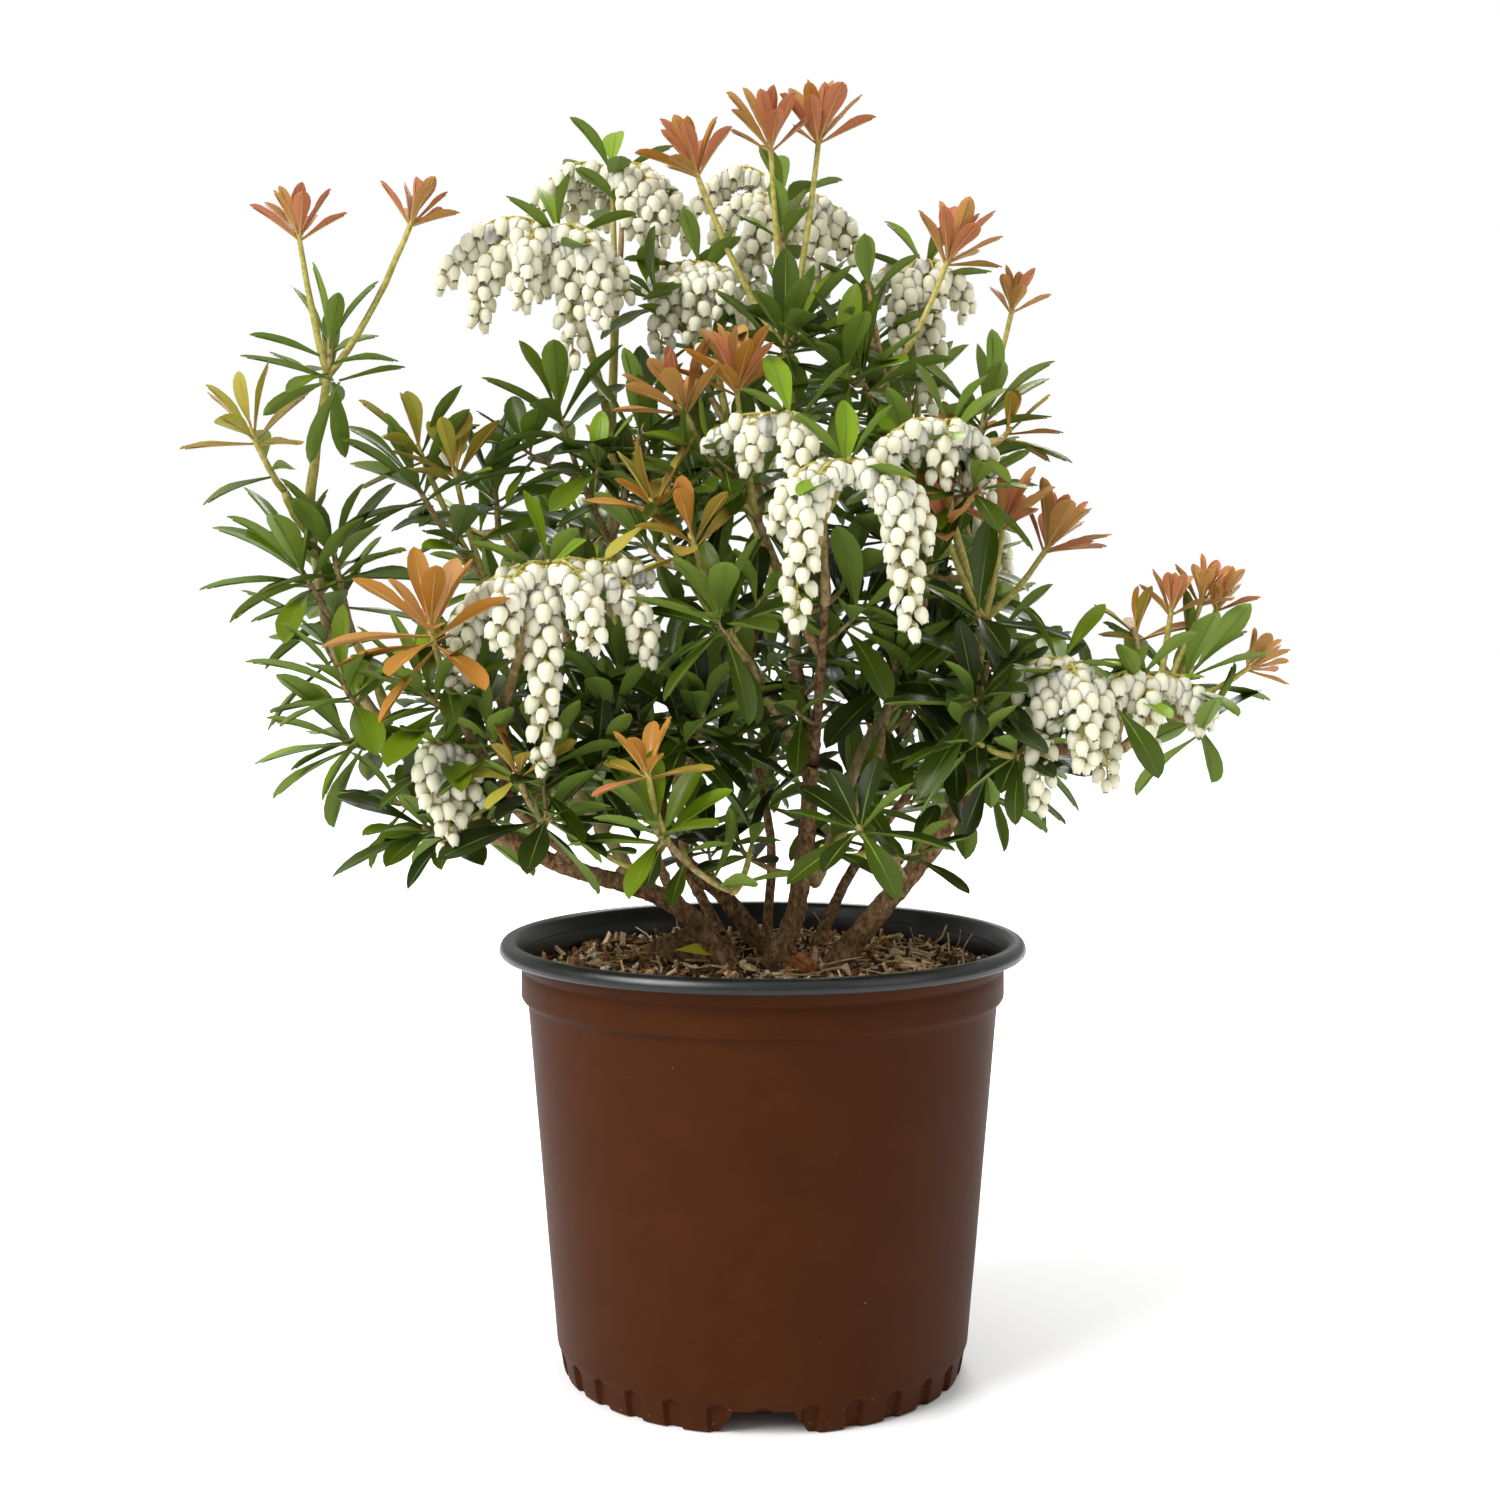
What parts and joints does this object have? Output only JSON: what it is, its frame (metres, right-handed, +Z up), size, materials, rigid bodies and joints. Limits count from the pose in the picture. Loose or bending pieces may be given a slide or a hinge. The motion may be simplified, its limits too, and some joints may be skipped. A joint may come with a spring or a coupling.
{
  "type": "potted flowering shrub",
  "caption": "Potted pieris: an evergreen shrub with whorled leaves, copper young tufts and hanging white bell flowers, in a round brown nursery pot with a black rolled rim.",
  "frame": {"origin": "centre of the pot's flat underside, on the ground", "axes": "+Z up, +X to the right of the front, +Y to the back"},
  "size_m": [0.4622, 0.3171, 0.5567],
  "materials": {
    "brown_plastic": "satin moulded red-brown polypropylene with faint flow marks",
    "black_plastic": "semi-gloss charcoal polypropylene lip and lining",
    "potting_bark": "moist potting bark with chips, fibres and white grit",
    "stem_bark": "rough grey-brown fissured bark",
    "evergreen_leaf": "glossy leathery leaf with a pale midrib",
    "young_leaf": "thin satin young leaf, copper to olive",
    "blossom": "waxy cream-white bell flower"
  },
  "bodies": {
    "root": {"pot_wall": "brown_plastic", "pot_rim": "black_plastic", "soil": "potting_bark", "root_burl": "stem_bark", "stem_left": "stem_bark", "stem_mid_left": "stem_bark", "stem_centre": "stem_bark", "stem_right": "stem_bark", "stem_back_left": "stem_bark", "stem_back_right": "stem_bark", "stem_back": "stem_bark", "bough_left_rise": "stem_bark", "bough_left_fan": "stem_bark", "bough_left_front": "stem_bark", "bough_crown_left": "stem_bark", "bough_crown_centre": "stem_bark", "bough_crown_right": "stem_bark", "bough_front": "stem_bark", "bough_front_low": "stem_bark", "bough_right_low": "stem_bark", "bough_right_rise": "stem_bark", "left_spires": "evergreen_leaf", "left_wing": "evergreen_leaf", "left_flank": "evergreen_leaf", "left_elbow": "evergreen_leaf", "left_skirt": "evergreen_leaf", "left_bells": "blossom", "left_front_tuft": "young_leaf", "left_front_bloom": "blossom", "left_front_low": "evergreen_leaf", "left_olive": "evergreen_leaf", "left_inner": "evergreen_leaf", "crown_left_bloom": "blossom", "crown_left_tip": "blossom", "crown_left_shade": "evergreen_leaf", "top_spires": "evergreen_leaf", "top_bloom": "blossom", "upper_bloom": "blossom", "right_spire": "evergreen_leaf", "right_bloom_high": "blossom", "right_slender": "evergreen_leaf", "centre_tuft": "young_leaf", "centre_bloom": "blossom", "centre_right_bloom": "blossom", "centre_olive": "young_leaf", "right_tufts": "young_leaf", "right_shade": "evergreen_leaf", "right_low_bloom": "blossom", "right_far_bloom": "blossom", "right_far_tufts": "young_leaf", "front_low": "evergreen_leaf", "front_right_low": "evergreen_leaf", "heart_left": "evergreen_leaf", "heart_right": "evergreen_leaf", "back_left_low": "evergreen_leaf", "back_left_high": "evergreen_leaf", "back_right_low": "evergreen_leaf", "back_right_high": "evergreen_leaf", "back_low": "evergreen_leaf", "back_high": "evergreen_leaf"}
  },
  "joints": []
}
